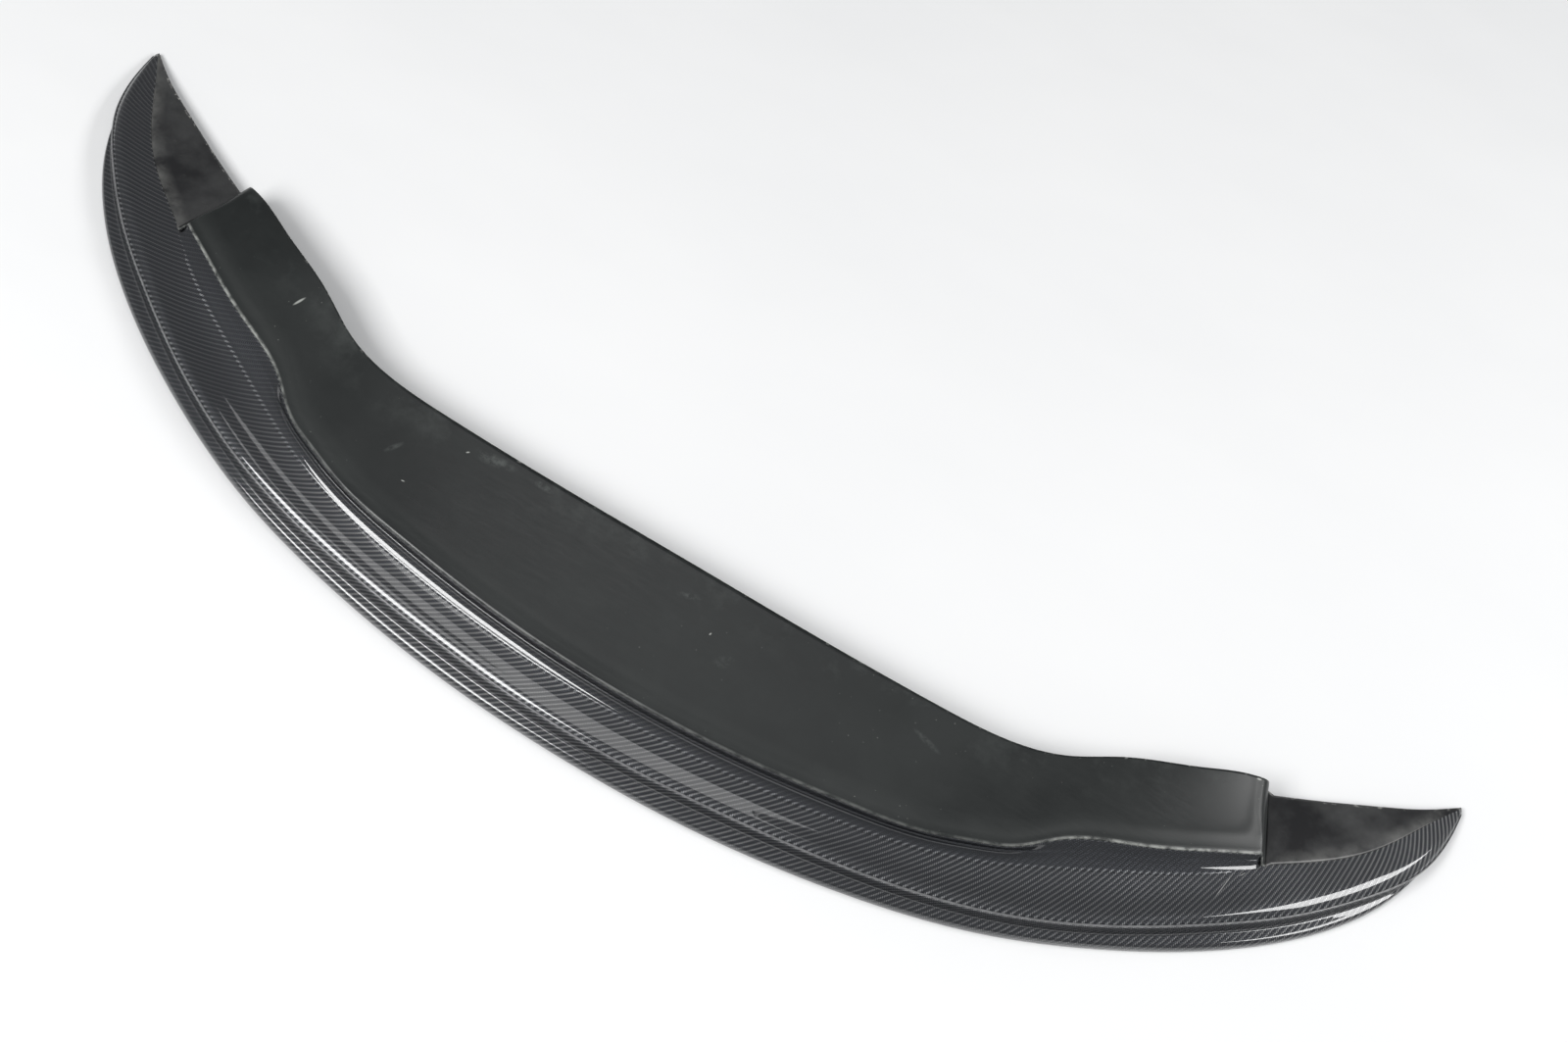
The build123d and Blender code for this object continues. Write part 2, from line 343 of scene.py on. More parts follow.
def cloth_coordinates(points, lift):
    """Tow coordinates of points in plan. lift is the cloth used up on upright faces."""
    shape = points.shape[:-1]
    plan = points[..., :2].reshape(-1, 2)
    coarse = RIDGE_LINE[::8]
    nearest = np.empty(len(plan), int)
    for i in range(0, len(plan), 4000):
        gap = np.linalg.norm(plan[i:i + 4000, None] - coarse[None], axis=2)
        nearest[i:i + 4000] = gap.argmin(axis=1) * 8
    tangent = np.stack([np.cos(RIDGE_TURN[nearest]), np.sin(RIDGE_TURN[nearest])], axis=-1)
    offset = plan - RIDGE_LINE[nearest]
    arc = RIDGE_ARC[nearest] + (offset * tangent).sum(axis=1)
    inboard = tangent[:, 0] * offset[:, 1] - tangent[:, 1] * offset[:, 0]
    inboard = inboard + np.broadcast_to(lift, shape).reshape(-1)
    lag = np.interp(arc, RIDGE_ARC, TOW_LAG)
    drift = np.interp(arc, RIDGE_ARC, TOW_DRIFT)
    along_warp = arc + lag * inboard
    across_warp = inboard - drift
    return np.stack([along_warp, across_warp], axis=-1).reshape(*shape, 2) / TOW


# ---------------------------------------------------------------- meshes

def grid_piece(name, points, material, node, cloth=None, wear=None, thickness=SKIN,
               flip=False):
    """A smooth skin from a grid of points in millimetres, thickened inwards.

    cloth holds tow coordinates, and wear the distances from two edges in centimetres.
    """
    rows, columns = points.shape[:2]
    index = np.arange(rows * columns).reshape(rows, columns)
    quads = np.stack([index[:-1, :-1], index[1:, :-1], index[1:, 1:], index[:-1, 1:]], axis=-1)
    quads = quads.reshape(-1, 4)
    if flip:
        quads = quads[:, ::-1]
    mesh = bpy.data.meshes.new(name)
    mesh.from_pydata((points.reshape(-1, 3) * MM).tolist(), [], quads.tolist())
    mesh.polygons.foreach_set("use_smooth", [True] * len(mesh.polygons))
    corners = np.empty(len(mesh.loops), int)
    mesh.loops.foreach_get("vertex_index", corners)
    plain = points[..., :2] / 10
    for map_name, source in (("cloth", cloth), ("wear", wear)):
        layer = mesh.uv_layers.new(name=map_name)
        source = plain if source is None else source
        layer.data.foreach_set("uv", source.reshape(-1, 2)[corners].ravel())
    mesh.materials.append(material)
    piece = bpy.data.objects.new(name, mesh)
    bpy.context.collection.objects.link(piece)
    if thickness:
        solid = piece.modifiers.new("thickness", "SOLIDIFY")
        solid.thickness = thickness * MM
        solid.offset = -1
        solid.thickness_clamp = 1.0
    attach(piece, "root")
    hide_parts(node)
    return piece


def angles(low, high):
    """Fan angles from low to high, evenly spaced."""
    count = int(round((high - low) / STEP_ANGLE)) + 1
    return np.linspace(low, high, count)


def sweep(section, low, high):
    """The grid of a section over a range of fan angles, and its flat section curves."""
    fan = angles(low, high)
    profile = section(fan)
    points = place(fan[:, None], profile[..., 0], profile[..., 1])
    return points, profile


def developed(profile, start=0):
    """Length along each section, counted from one of its points."""
    length = np.linalg.norm(np.diff(profile, axis=1), axis=2)
    run = np.concatenate([np.zeros((len(profile), 1)), np.cumsum(length, axis=1)], axis=1)
    return run - run[:, start][:, None]


def edge_distances(points):
    """Distance of each point from the first and the last edge of its grid, in centimetres."""
    run = np.linalg.norm(np.diff(points, axis=1), axis=2) / 10
    depth = np.concatenate([np.zeros((len(points), 1)), np.cumsum(run, axis=1)], axis=1)
    return np.stack([depth, depth[:, -1:] - depth], axis=-1)


def lift_of(profile, start=0):
    """Cloth used up beyond the plan distance along each section."""
    return developed(profile, start) - np.abs(profile[:, start, 0][:, None] - profile[..., 0])


def nose_pieces(materials):
    points, _ = sweep(strip_section, -TIP_ANGLE, TIP_ANGLE)
    grid_piece("edge_strip_detail", points, materials["edge"], "edge_strip")
    points, profile = sweep(band_section, -TIP_ANGLE, TIP_ANGLE)
    inboard = -developed(profile[:, ::-1])[:, ::-1]
    plan = ridge.at(angles(-TIP_ANGLE, TIP_ANGLE))[0][:, None] - profile[..., 0]
    cloth = cloth_coordinates(points, inboard - plan)
    wear = edge_distances(points)[..., ::-1]
    grid_piece("nose_band_detail", points, materials["carbon"], "nose_band", cloth, wear)
    points, _ = sweep(bead_section, -TIP_ANGLE, TIP_ANGLE)
    grid_piece("ridge_bead_detail", points, materials["bead"], "ridge_bead",
               thickness=0)


def shelf_piece(materials):
    points, _ = sweep(shelf_section, -TIP_ANGLE, TIP_ANGLE)
    cloth = cloth_coordinates(points, 0.0)
    grid_piece("shelf_detail", points, materials["carbon"], "shelf_skin", cloth,
               edge_distances(points))


def riser_piece(materials):
    points, profile = sweep(riser_section, -END_ANGLE, END_ANGLE)
    ramp = ease((END_ANGLE - np.abs(angles(-END_ANGLE, END_ANGLE))) / 0.12)[:, None]
    heel = root.at(angles(-END_ANGLE, END_ANGLE))[1][:, None]
    points[..., 2] = mix(np.minimum(points[..., 2], mix(heel, points[..., 2], 0.72)),
                         points[..., 2], ramp)
    cloth = cloth_coordinates(points, lift_of(profile))
    grid_piece("riser_detail", points, materials["riser"], "riser_wall", cloth,
               edge_distances(points))


def deck_pieces(materials):
    """The deck with its rounded ends, and the end walls below them."""
    inner = END_ANGLE - FLANK_ANGLE
    points, profile = sweep(deck_section, -inner, inner)
    columns = profile.shape[1]
    edge = deck_section(np.array([END_ANGLE]))[0]
    share = np.clip((edge[0, 0] - edge[:, 0]) / (edge[0, 0] - edge[-1, 0]), 0, 1)
    radius = mix(FRONT_SHOULDER, REAR_SHOULDER, ease(share * 1.4))
    last = END_ANGLE - np.degrees(radius / edge[:, 0])
    flank = []
    for k in np.linspace(0, 1, FLANK_STEPS + 1)[1:]:
        row = mix(inner, last, k)
        own = deck_section(row)[np.arange(columns), np.arange(columns)]
        flank.append(place(row, own[:, 0], own[:, 1]))

    reach_top = edge[:, 0]
    top = flank[-1][:, 2]
    heel, heel_height = root.at(np.array([END_ANGLE]))
    reach_foot = mix(heel[0], reach_top[-1], share)
    floor_height = mix(heel_height[0], PAD_REAR[0][2], share) + 0.2
    drop = np.minimum(radius, (top - floor_height) * 0.6)
    for turn in np.linspace(0, math.pi / 2, SHOULDER_STEPS + 1)[1:]:
        out = radius * math.sin(turn)
        flank.append(place(last + np.degrees(out / reach_top), reach_top,
                           top - drop * (1 - math.cos(turn))))
    flank = np.stack(flank)
    mirror = np.array([-1, 1, 1])
    whole = np.concatenate([(flank * mirror)[::-1], points, flank])
    grid_piece("deck_detail", whole, materials["satin"], "deck_panel",
               wear=edge_distances(whole))

    rows = [flank[-2], flank[-1]]
    wall_top = flank[-1][:, 2]
    fillet = np.minimum(FOOT_FILLET, (wall_top - floor_height) * 0.8)
    for k in np.linspace(0, 1, 6)[1:]:
        reach = mix(reach_top, reach_foot, k)
        height = mix(wall_top, floor_height + fillet, k)
        rows.append(place(END_ANGLE + 0.03 * k + 0 * reach, reach, height))
    for turn in np.linspace(0, math.pi / 2, 7)[1:]:
        out = fillet * (1 - math.cos(turn))
        height = floor_height + fillet * (1 - math.sin(turn))
        rows.append(place(END_ANGLE + 0.03 + np.degrees(out / reach_foot), reach_foot, height))
    wall = np.stack(rows)
    below = wall - np.array([0, 0, 0.15]) * (np.arange(len(wall)) < 2)[:, None, None]
    wear = edge_distances(wall)
    grid_piece("end_wall_right_detail", below, materials["satin"], "end_wall_right",
               wear=wear)
    grid_piece("end_wall_left_detail", below * mirror, materials["satin"], "end_wall_left",
               wear=wear, flip=True)
    return wall[-1]


def pad_pieces(materials, foot):
    """The flat pads beyond the humps, from the end wall's foot to the tip."""
    fan = angles(END_ANGLE + 0.35, TIP_ANGLE)
    line, line_height = root.at(fan)
    edge, rear_height = pad_rear.at(fan)
    t = np.linspace(0, 1, 24)
    reach = mix(line[:, None], edge[:, None], t)
    height = mix(line_height[:, None], rear_height[:, None], t) + 0.25
    height = height + 1.6 * np.sin(math.pi * t) * ease((TIP_ANGLE - fan) / 3)[:, None]
    points = place(fan[:, None], reach, height)
    share = np.linspace(0, 1, len(foot))
    start = np.stack([np.interp(t, share, foot[:, k]) for k in range(3)], axis=-1)
    bridge = [mix(start, points[0], k) for k in np.linspace(0, 1, 5)[:-1]]
    points = np.concatenate([np.stack(bridge), points])
    mirror = np.array([-1, 1, 1])
    wear = edge_distances(points)
    grid_piece("tip_pad_right_detail", points, materials["matt"], "tip_pad_right",
               wear=wear)
    grid_piece("tip_pad_left_detail", points * mirror, materials["matt"], "tip_pad_left",
               wear=wear, flip=True)


def bar_piece(materials):
    """The square bar under the deck's rear edge, with rounded corners and closed ends."""
    last = BAR_END + BAR_CAP_ANGLE
    fan = np.r_[-last, np.linspace(-BAR_END, BAR_END, 241), last]
    back, rear = deck_rear.at(fan)
    turn = np.linspace(0, 2 * math.pi, 33)
    square = np.stack([np.cos(turn), np.sin(turn)], axis=-1)
    square = np.sign(square) * np.abs(square) ** BAR_POWER * BAR_SIZE / 2
    size = np.ones(len(fan))
    size[[0, -1]] = BAR_CAP_SIZE
    across = (back + BAR_INSET + BAR_SIZE / 2)[:, None] + size[:, None] * square[:, 0]
    height = (rear - BAR_DROP - BAR_SIZE / 2)[:, None] + size[:, None] * square[:, 1]
    points = place(fan[:, None], across, height)
    ends = points[[0, -1]].mean(axis=1, keepdims=True) + 0 * points[[0, -1]]
    points = np.concatenate([ends[:1], points, ends[1:]])
    grid_piece("rear_bar_detail", points, materials["laminate"], "rear_bar",
               thickness=0)


# ---------------------------------------------------------------- materials

# Marks on deck and shelf, most of them placed where the photo shows them: centre, turn from
# the X axis and size, in millimetres and degrees. MARK_HEIGHT is in metres.
MARK_HEIGHT = 0.03
DECK_SCUFFS = [((88, -79), 35, (26, 15)), ((-235, -15), 8, (60, 16)), ((-175, -12), 0, (34, 10)),
               ((20, -35), 20, (30, 9)), ((310, -40), -15, (40, 8)), ((-330, -60), 60, (26, 7))]
SHELF_SCRATCHES = [((650, 0), 80, (40, 1.1)), ((662, 22), 60, (9, 1.0))]
DECK_SCRATCHES = [((-511, 31), 67, (18, 3.4)), ((-262, -22), 40, (5, 2)), ((60, -60), 75, (4, 2)),
                  ((632, 121), 20, (7, 3)), ((-300, -88), 10, (5, 1.6))]


class Paint:
    """A Principled material and short calls for the nodes that feed it."""

    def __init__(self, name, **values):
        self.material = bpy.data.materials.new(name)
        self.material.use_nodes = True
        self.tree = self.material.node_tree
        self.shader = self.tree.nodes["Principled BSDF"]
        for socket, value in values.items():
            self.shader.inputs[socket.replace("_", " ")].default_value = value

    def node(self, kind, **settings):
        made = self.tree.nodes.new(kind)
        for key, value in settings.items():
            setattr(made, key, value)
        return made

    def plug(self, value, socket):
        if isinstance(value, bpy.types.NodeSocket):
            self.tree.links.new(value, socket)
        else:
            socket.default_value = value

    def math(self, operation, a, b=0.0, c=0.0):
        made = self.node("ShaderNodeMath", operation=operation)
        for value, socket in zip((a, b, c), made.inputs):
            self.plug(value, socket)
        return made.outputs[0]

    def remap(self, value, low, high, new_low, new_high):
        made = self.node("ShaderNodeMapRange")
        for v, socket in zip((value, low, high, new_low, new_high), made.inputs):
            self.plug(v, socket)
        return made.outputs[0]

    def blend(self, share, a, b):
        made = self.node("ShaderNodeMix", data_type="RGBA")
        self.plug(share, made.inputs["Factor"])
        self.plug(a, made.inputs["A"])
        self.plug(b, made.inputs["B"])
        return made.outputs["Result"]

    def place(self, scale=(1, 1, 1), turn=0.0):
        """Object coordinates in metres, scaled and then turned about Z."""
        source = self.node("ShaderNodeTexCoord").outputs["Object"]
        made = self.node("ShaderNodeMapping")
        self.plug(source, made.inputs["Vector"])
        made.inputs["Rotation"].default_value = (0, 0, math.radians(turn))
        made.inputs["Scale"].default_value = scale
        return made.outputs["Vector"]

    def noise(self, where, scale, detail=3.0, roughness=0.5):
        made = self.node("ShaderNodeTexNoise")
        self.plug(where, made.inputs["Vector"])
        made.inputs["Scale"].default_value = scale
        made.inputs["Detail"].default_value = detail
        made.inputs["Roughness"].default_value = roughness
        return made.outputs["Fac"]

    def specks(self, where, scale, size):
        """1 inside small random dots, 0 elsewhere."""
        made = self.node("ShaderNodeTexVoronoi")
        self.plug(where, made.inputs["Vector"])
        made.inputs["Scale"].default_value = scale
        return self.remap(made.outputs["Distance"], size, size * 0.5, 0.0, 1.0)

    def spot(self, centre, turn, size):
        """1 inside a soft ellipse. centre and size are millimetres in plan."""
        source = self.node("ShaderNodeTexCoord").outputs["Object"]
        made = self.node("ShaderNodeMapping", vector_type="TEXTURE")
        self.plug(source, made.inputs["Vector"])
        made.inputs["Location"].default_value = (centre[0] * MM, centre[1] * MM, MARK_HEIGHT)
        made.inputs["Rotation"].default_value = (0, 0, math.radians(turn))
        made.inputs["Scale"].default_value = (size[0] / 2 * MM, size[1] / 2 * MM, 1)
        far = self.node("ShaderNodeVectorMath", operation="LENGTH")
        self.plug(made.outputs["Vector"], far.inputs[0])
        return self.remap(far.outputs["Value"], 1.0, 0.45, 0.0, 1.0)

    def wear(self):
        """Distances from the piece's two long edges, in centimetres."""
        split = self.node("ShaderNodeSeparateXYZ")
        self.plug(self.node("ShaderNodeUVMap", uv_map="wear").outputs["UV"], split.inputs[0])
        return split.outputs[0], split.outputs[1]

    def bump(self, height, distance, strength=1.0, under=None):
        made = self.node("ShaderNodeBump")
        made.inputs["Strength"].default_value = strength
        made.inputs["Distance"].default_value = distance
        self.plug(height, made.inputs["Height"])
        if under is not None:
            self.plug(under, made.inputs["Normal"])
        return made.outputs["Normal"]

    def set(self, socket, value):
        self.plug(value, self.shader.inputs[socket])


def twill(paint, coordinates):
    """Height and warp mask of a 2/2 twill, from coordinates counted in tows."""
    split = paint.node("ShaderNodeSeparateXYZ")
    paint.plug(coordinates, split.inputs[0])
    across, inboard = split.outputs[0], split.outputs[1]
    column = paint.math("FLOOR", across)
    row = paint.math("FLOOR", inboard)
    across_share = paint.math("FRACT", across)
    along_share = paint.math("FRACT", inboard)
    phase = paint.math("FLOORED_MODULO", paint.math("SUBTRACT", column, row), 4.0)
    warp = paint.math("LESS_THAN", phase, 1.5)
    warp_run = paint.math("DIVIDE", paint.math("ADD", paint.math("SUBTRACT", 1.0, phase),
                                               along_share), 2.0)
    weft_run = paint.math("DIVIDE", paint.math("ADD", paint.math("SUBTRACT", phase, 2.0),
                                               across_share), 2.0)
    run = paint.math("ADD", paint.math("MULTIPLY", warp, warp_run),
                     paint.math("MULTIPLY", paint.math("SUBTRACT", 1.0, warp), weft_run))
    side = paint.math("ADD", paint.math("MULTIPLY", warp, across_share),
                      paint.math("MULTIPLY", paint.math("SUBTRACT", 1.0, warp), along_share))
    crown = paint.math("SINE", paint.math("MULTIPLY", run, math.pi))
    cross = paint.math("POWER", paint.math("SINE", paint.math("MULTIPLY", side, math.pi)), 0.6)
    height = paint.math("MULTIPLY", cross, paint.math("MULTIPLY_ADD", crown, 0.65, 0.35))
    return height, warp


def carbon_paint(name, painted_sheen, right_sheen_share):
    """Glossy lacquered 2/2 twill.

    painted_sheen is the colour of the painted sheen on the tops of the warp floats, and
    right_sheen_share is what is left of that sheen on the right. The sheen is painted light, and so
    is
    its spread across the lip: dimmer on the left and on the right, brighter again at the right tip,
    and pale grey near the edges of each piece, where it paints highlight lines along the ridge.
    """
    paint = Paint(name, Metallic=0.6, Roughness=0.42, Coat_Weight=1.0, Coat_Roughness=0.03,
                  Coat_IOR=1.75)
    cloth = paint.node("ShaderNodeUVMap", uv_map="cloth").outputs["UV"]
    height, warp = twill(paint, cloth)
    where = paint.place()
    batch = paint.noise(where, 9.0, 4.0)
    # Tows are lighter at their tops and darker in the dips of the weave. This is painted sheen and
    # painted shade: faint on the weft, strong on the warp float tops.
    float_sheen_mask = paint.math("POWER", height, 2.0)
    weft_colour = paint.blend(height, (0.003, 0.004, 0.006, 1), (0.016, 0.019, 0.026, 1))
    warp_sheen_colour = paint.blend(float_sheen_mask, (0.004, 0.005, 0.008, 1), (painted_sheen, painted_sheen, painted_sheen, 1))
    # Painted light across the lip. The warp sheen is dimmed on the left, dimmed to right_sheen_share
    # on the right, and brightened again at the right tip.
    across = paint.node("ShaderNodeSeparateXYZ")
    paint.plug(where, across.inputs[0])
    left = paint.remap(across.outputs[0], -0.52, -0.34, 0.22, 1.0)
    right = paint.math("ADD", paint.remap(across.outputs[0], -0.10, 0.30, 1.0, right_sheen_share),
                       paint.remap(across.outputs[0], 0.68, 0.78, 0.0, 0.5))
    # Painted highlight: the warp float tops turn pale grey within a few millimetres of the piece's
    # edges. This draws highlight lines along the ridge, the root and the riser top.
    first, second = paint.wear()
    crest_highlight = paint.math("MAXIMUM", paint.remap(first, 0.12, 0.42, 1.0, 0.0),
                        paint.remap(second, 0.05, 0.20, 0.6, 0.0))
    warp_sheen_colour = paint.blend(paint.math("MULTIPLY", left, right), weft_colour, warp_sheen_colour)
    warp_sheen_colour = paint.blend(paint.math("MULTIPLY", crest_highlight, float_sheen_mask), warp_sheen_colour,
                              (0.55, 0.56, 0.58, 1))
    # woven, and resin below it, carry the painted sheen and the painted highlight lines. The resin
    # blend itself only darkens random batches.
    woven = paint.blend(warp, weft_colour, warp_sheen_colour)
    shade = paint.remap(batch, 0.3, 0.7, 0.0, 0.35)
    resin = paint.blend(shade, woven, (0.012, 0.013, 0.016, 1))
    for centre, turn, size in SHELF_SCRATCHES:
        resin = paint.blend(paint.spot(centre, turn, size), resin, (0.30, 0.30, 0.29, 1))
    paint.set("Base Color", resin)
    paint.set("Roughness", paint.remap(batch, 0.3, 0.7, 0.36, 0.48))
    paint.set("Normal", paint.bump(height, 0.00035, 0.9))
    orange_peel = paint.noise(where, 160.0, 1.0)
    paint.set("Coat Normal", paint.bump(orange_peel, 0.0004, 0.06))
    return paint.material


def satin_paint():
    """Satin black finish, hand rubbed, with dust, scuffs and rubbed edges, and a painted sheen band
    just behind the front edge.
    """
    paint = Paint("satin_black", Specular_IOR_Level=0.46, Coat_Weight=0.22, Coat_Roughness=0.3)
    where = paint.place()
    front, rear = paint.wear()
    cloud = paint.noise(where, 5.0, 5.0, 0.55)
    rubbed = paint.noise(paint.place((6, 60, 6), 20), 7.0, 4.0, 0.6)
    grain = paint.noise(where, 90.0, 6.0, 0.75)
    grey = paint.blend(paint.remap(cloud, 0.3, 0.7, 0, 1), (0.004, 0.0055, 0.0055, 1),
                       (0.016, 0.0185, 0.0180, 1))
    # Painted sheen: the grey is lighter in a band from 0.4 to 3.2 cm behind the front edge.
    front_sheen_band = paint.math("MULTIPLY", paint.remap(front, 0.4, 1.2, 0.0, 1.0),
                          paint.remap(front, 1.2, 3.2, 1.0, 0.0))
    grey = paint.blend(paint.math("MULTIPLY", front_sheen_band, 0.45), grey, (0.034, 0.037, 0.036, 1))
    haze = paint.math("MULTIPLY", paint.remap(paint.noise(where, 17.0, 6.0, 0.7), 0.5, 0.72, 0, 1),
                      paint.remap(rear, 5.0, 0.5, 0.05, 0.4))
    for centre, turn, size in DECK_SCUFFS:
        mark = paint.math("MULTIPLY", paint.spot(centre, turn, size),
                          paint.remap(grain, 0.42, 0.62, 0.0, 0.75))
        haze = paint.math("MAXIMUM", haze, mark)
    grey = paint.blend(haze, grey, (0.070, 0.078, 0.074, 1))
    dust = paint.math("MULTIPLY", paint.specks(where, 95.0, 0.05),
                      paint.remap(paint.noise(where, 5.0, 2.0), 0.45, 0.65, 0.0, 0.8))
    chips = paint.math("MULTIPLY", paint.remap(paint.noise(where, 130.0, 4.0, 0.7), 0.6, 0.66, 0, 1),
                       paint.remap(rear, 0.25, 0.05, 0.0, 0.7))
    across = paint.node("ShaderNodeSeparateXYZ")
    paint.plug(where, across.inputs[0])
    humps = paint.remap(paint.math("ABSOLUTE", across.outputs[0]), 0.40, 0.52, 0.35, 1.0)
    rubbed_edge = paint.math("MULTIPLY", paint.remap(front, 0.42, 0.16, 0.0, 1.0),
                             paint.remap(paint.noise(where, 70.0, 5.0, 0.7), 0.40, 0.58, 0.1, 0.9))
    chips = paint.math("MAXIMUM", chips, paint.math("MULTIPLY", rubbed_edge, humps))
    dust = paint.math("MAXIMUM", dust, chips)
    for centre, turn, size in DECK_SCRATCHES:
        dust = paint.math("MAXIMUM", dust, paint.spot(centre, turn, size))
    paint.set("Base Color", paint.blend(dust, grey, (0.34, 0.35, 0.33, 1)))
    rough = paint.math("ADD", paint.remap(cloud, 0.3, 0.7, 0.28, 0.40),
                       paint.remap(rubbed, 0.3, 0.7, -0.03, 0.05))
    paint.set("Roughness", rough)
    fine = paint.bump(paint.noise(where, 420.0, 2.0), 0.0002, 0.12)
    paint.set("Normal", paint.bump(cloud, 0.004, 0.1, fine))
    return paint.material


def matt_paint():
    """Matt black of the tip pads, smeared along the masked line and chipped at the rear."""
    paint = Paint("matt_black", Specular_IOR_Level=0.5, Coat_Weight=0.15, Coat_Roughness=0.25)
    where = paint.place()
    line, rear = paint.wear()
    cloud = paint.remap(paint.noise(where, 11.0, 5.0, 0.62), 0.36, 0.64, 0.0, 1.0)
    marks = paint.remap(paint.noise(where, 60.0, 6.0, 0.75), 0.60, 0.85, 0.0, 0.4)
    smear = paint.math("MULTIPLY", paint.remap(line, 1.8, 0.1, 0.0, 1.0),
                       paint.remap(paint.noise(where, 30.0, 5.0, 0.7), 0.38, 0.62, 0.0, 1.0))
    base = paint.blend(cloud, (0.009, 0.009, 0.010, 1), (0.046, 0.047, 0.047, 1))
    worn = paint.blend(paint.math("MAXIMUM", marks, smear), base, (0.10, 0.10, 0.096, 1))
    chips = paint.math("MULTIPLY", paint.remap(paint.noise(where, 130.0, 4.0, 0.7), 0.56, 0.62, 0, 1),
                       paint.remap(rear, 0.35, 0.08, 0.0, 0.8))
    paint.set("Base Color", paint.blend(chips, worn, (0.42, 0.41, 0.39, 1)))
    paint.set("Roughness", paint.remap(cloud, 0.0, 1.0, 0.28, 0.44))
    paint.set("Normal", paint.bump(paint.noise(where, 300.0, 2.0), 0.0002, 0.12))
    return paint.material


def edge_paint():
    """The smooth resin-rich edge under lacquer."""
    paint = Paint("resin_edge", Coat_Weight=1.0, Coat_Roughness=0.06)
    where = paint.place()
    cloud = paint.noise(where, 30.0, 4.0)
    paint.set("Base Color", paint.blend(cloud, (0.03, 0.031, 0.033, 1), (0.085, 0.087, 0.09, 1)))
    paint.set("Roughness", paint.remap(cloud, 0.3, 0.7, 0.25, 0.4))
    return paint.material


def bead_highlight_paint():
    """The lacquered bead on the ridge, with a pale grey base that paints a highlight line along it.
    """
    paint = Paint("ridge_bead", Coat_Weight=1.0, Coat_Roughness=0.04)
    cloud = paint.noise(paint.place(), 60.0, 3.0)
    paint.set("Base Color", paint.blend(cloud, (0.06, 0.061, 0.063, 1), (0.24, 0.24, 0.245, 1)))
    paint.set("Roughness", paint.remap(cloud, 0.3, 0.7, 0.2, 0.34))
    return paint.material


def laminate_paint():
    """Unlacquered laminate of the hidden side: a dull weave with resin marks."""
    paint = Paint("raw_laminate", Specular_IOR_Level=0.4)
    tows = paint.place((1000 / TOW, 1000 / TOW, 1000 / TOW))
    height, warp = twill(paint, tows)
    where = paint.place()
    resin = paint.noise(where, 22.0, 5.0, 0.6)
    woven = paint.blend(warp, (0.012, 0.012, 0.013, 1), (0.04, 0.04, 0.042, 1))
    shade = paint.remap(resin, 0.4, 0.7, 0, 0.7)
    paint.set("Base Color", paint.blend(shade, woven, (0.022, 0.021, 0.02, 1)))
    paint.set("Roughness", paint.remap(resin, 0.3, 0.7, 0.45, 0.65))
    paint.set("Normal", paint.bump(height, 0.0003, 0.5))
    return paint.material


def foam_paint():
    """Closed-cell foam."""
    paint = Paint("foam", Roughness=0.8)
    where = paint.place()
    cells = paint.specks(where, 900.0, 0.4)
    cloud = paint.noise(where, 40.0, 4.0)
    paint.set("Base Color", paint.blend(cloud, (0.50, 0.44, 0.30, 1), (0.62, 0.56, 0.42, 1)))
    paint.set("Normal", paint.bump(cells, 0.0004, 0.5))
    return paint.material


def block_paint():
    """Machined laminate blocks, with fine cutter lines."""
    paint = Paint("machined_block", Specular_IOR_Level=0.45)
    lines = paint.noise(paint.place((20, 900, 20)), 3.0, 2.0)
    cloud = paint.noise(paint.place(), 50.0, 4.0)
    paint.set("Base Color", paint.blend(cloud, (0.025, 0.025, 0.026, 1), (0.06, 0.06, 0.062, 1)))
    paint.set("Roughness", paint.remap(lines, 0.3, 0.7, 0.38, 0.55))
    paint.set("Normal", paint.bump(lines, 0.0002, 0.4))
    return paint.material


def steel_paint():
    """Turned stainless steel of the inserts."""
    paint = Paint("turned_steel", Metallic=1.0)
    rings = paint.noise(paint.place((60, 60, 2200)), 2.0, 3.0)
    cloud = paint.noise(paint.place(), 200.0, 3.0)
    paint.set("Base Color", paint.blend(cloud, (0.42, 0.42, 0.43, 1), (0.60, 0.60, 0.61, 1)))
    paint.set("Roughness", paint.remap(rings, 0.3, 0.7, 0.22, 0.42))
    paint.set("Normal", paint.bump(rings, 0.0001, 0.3))
    return paint.material


def cloth_backdrop_paint():
    """The pale cloth that the lip lies on."""
    paint = Paint("pale_floor", Roughness=0.9, Specular_IOR_Level=0.1)
    folds = paint.noise(paint.place((1, 1.6, 1), 30), 2.2, 3.0, 0.45)
    paint.set("Base Color", paint.blend(folds, (0.86, 0.865, 0.87, 1), (0.92, 0.92, 0.918, 1)))
    paint.set("Normal", paint.bump(folds, 0.06, 0.12))
    return paint.material


# ---------------------------------------------------------------- studio

CAMERA_TARGET = Vector((0.0545, 0.1258, 0.0))
CAMERA_AZIMUTH = 11.7
CAMERA_ELEVATION = 63.35
CAMERA_ROLL = 19.8
CAMERA_DISTANCE = 2.583
CAMERA_LENS = 54.0
FLOOR_HALF = 8.0


def facing(location, target, roll=0.0):
    """A pose at a place that looks at a target, turned about its line of sight."""
    back = (location - target).normalized()
    right = Vector((0, 0, 1)).cross(back).normalized()
    up = back.cross(right)
    turn = math.radians(roll)
    across = right * math.cos(turn) + up * math.sin(turn)
    upright = up * math.cos(turn) - right * math.sin(turn)
    axes = Matrix((across, upright, back)).transposed().to_4x4()
    return Matrix.Translation(location) @ axes


def orbit(azimuth, elevation, distance, target=Vector((0, 0, 0))):
    a, e = math.radians(azimuth), math.radians(elevation)
    back = Vector((math.sin(a) * math.cos(e), -math.cos(a) * math.cos(e), math.sin(e)))
    return target + back * distance


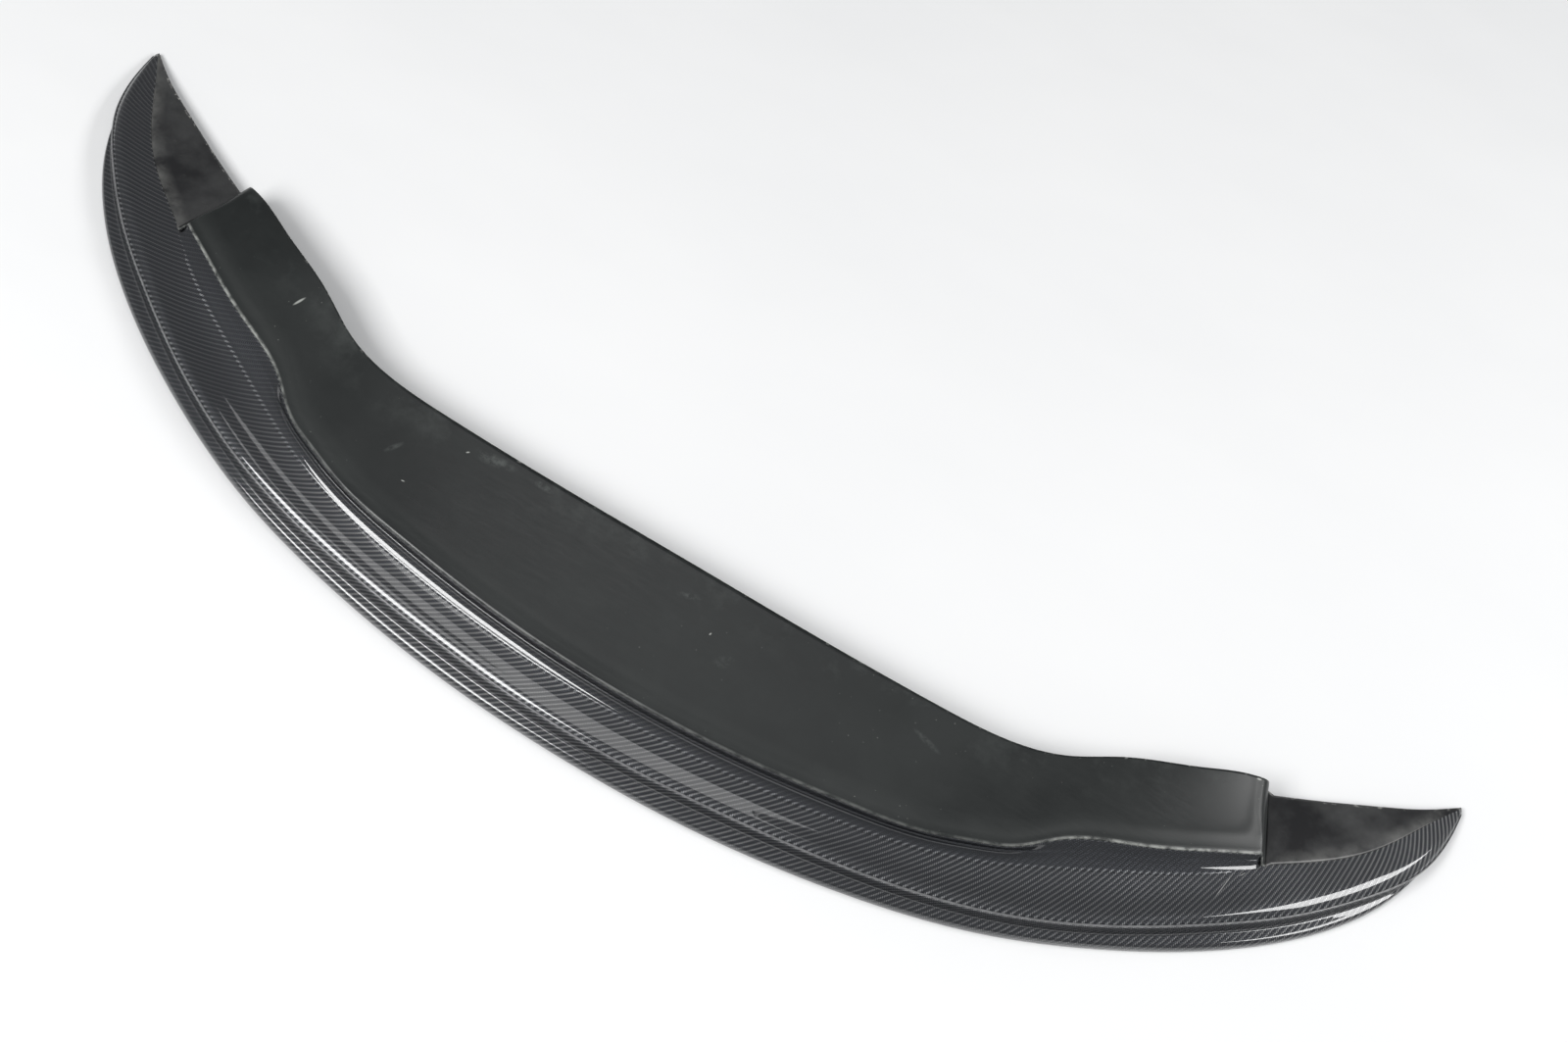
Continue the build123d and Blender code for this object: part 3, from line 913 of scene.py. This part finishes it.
def make_camera():
    data = bpy.data.cameras.new("camera")
    data.lens = CAMERA_LENS
    data.sensor_width = 36
    camera = bpy.data.objects.new("camera", data)
    bpy.context.collection.objects.link(camera)
    position = orbit(CAMERA_AZIMUTH, CAMERA_ELEVATION, CAMERA_DISTANCE, CAMERA_TARGET)
    camera.matrix_world = facing(position, CAMERA_TARGET, CAMERA_ROLL)
    bpy.context.scene.camera = camera


def softbox(name, azimuth, elevation, distance, size, power):
    data = bpy.data.lights.new(name, "AREA")
    data.shape = "RECTANGLE"
    data.size, data.size_y = size
    data.energy = power
    light = bpy.data.objects.new(name, data)
    bpy.context.collection.objects.link(light)
    light.matrix_world = facing(orbit(azimuth, elevation, distance), Vector((0, 0, 0)))


def make_studio():
    world = bpy.data.worlds.new("studio")
    world.use_nodes = True
    background = world.node_tree.nodes["Background"]
    background.inputs["Color"].default_value = (0.96, 0.98, 1.0, 1)
    background.inputs["Strength"].default_value = 0.26
    bpy.context.scene.world = world
    bpy.context.scene.view_settings.view_transform = "Standard"
    softbox("glare", -50, 66, 3.2, (0.8, 0.5), 2.2)
    softbox("lamp", -37, 50, 3.3, (1.7, 1.3), 74)
    softbox("right_lamp", 106, 42, 3.2, (2.4, 0.8), 49)
    softbox("ceiling", 201, 64, 3.2, (1.2, 0.9), 5)
    mesh = bpy.data.meshes.new("floor")
    half = FLOOR_HALF
    mesh.from_pydata([(-half, -half, 0), (half, -half, 0), (half, half, 0), (-half, half, 0)],
                     [], [(0, 1, 2, 3)])
    mesh.materials.append(cloth_backdrop_paint())
    floor = bpy.data.objects.new("floor", mesh)
    bpy.context.collection.objects.link(floor)


# ---------------------------------------------------------------- the lip

HIDDEN_STRUCTURE = {
    "floor_skin": "laminate", "root_spar": "laminate",
    "foam_core": "foam", "threaded_inserts": "steel",
}


def paint_structure(materials):
    """Gives each CAD node that still shows its material."""
    for name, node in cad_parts.items():
        kind = HIDDEN_STRUCTURE.get(name)
        if name.startswith("deck_rib"):
            kind = "laminate"
        if "_block_" in name:
            kind = "block"
        if kind is None:
            continue
        for material_slot in node.material_slots:
            material_slot.material = materials[kind]


def build():
    materials = {
        "carbon": carbon_paint("carbon_twill", 0.36, 0.42),
        # The riser gets a darker copy of the carbon: painted shade, with much less painted sheen on
        # its tows.
        "riser": carbon_paint("riser_twill_painted_shade", 0.11, 0.1),
        "satin": satin_paint(),
        "matt": matt_paint(),
        "edge": edge_paint(),
        "bead": bead_highlight_paint(),
        "laminate": laminate_paint(),
        "foam": foam_paint(),
        "block": block_paint(),
        "steel": steel_paint(),
    }
    paint_structure(materials)
    nose_pieces(materials)
    shelf_piece(materials)
    riser_piece(materials)
    foot = deck_pieces(materials)
    pad_pieces(materials, foot)
    bar_piece(materials)


make_camera()
make_studio()
build()
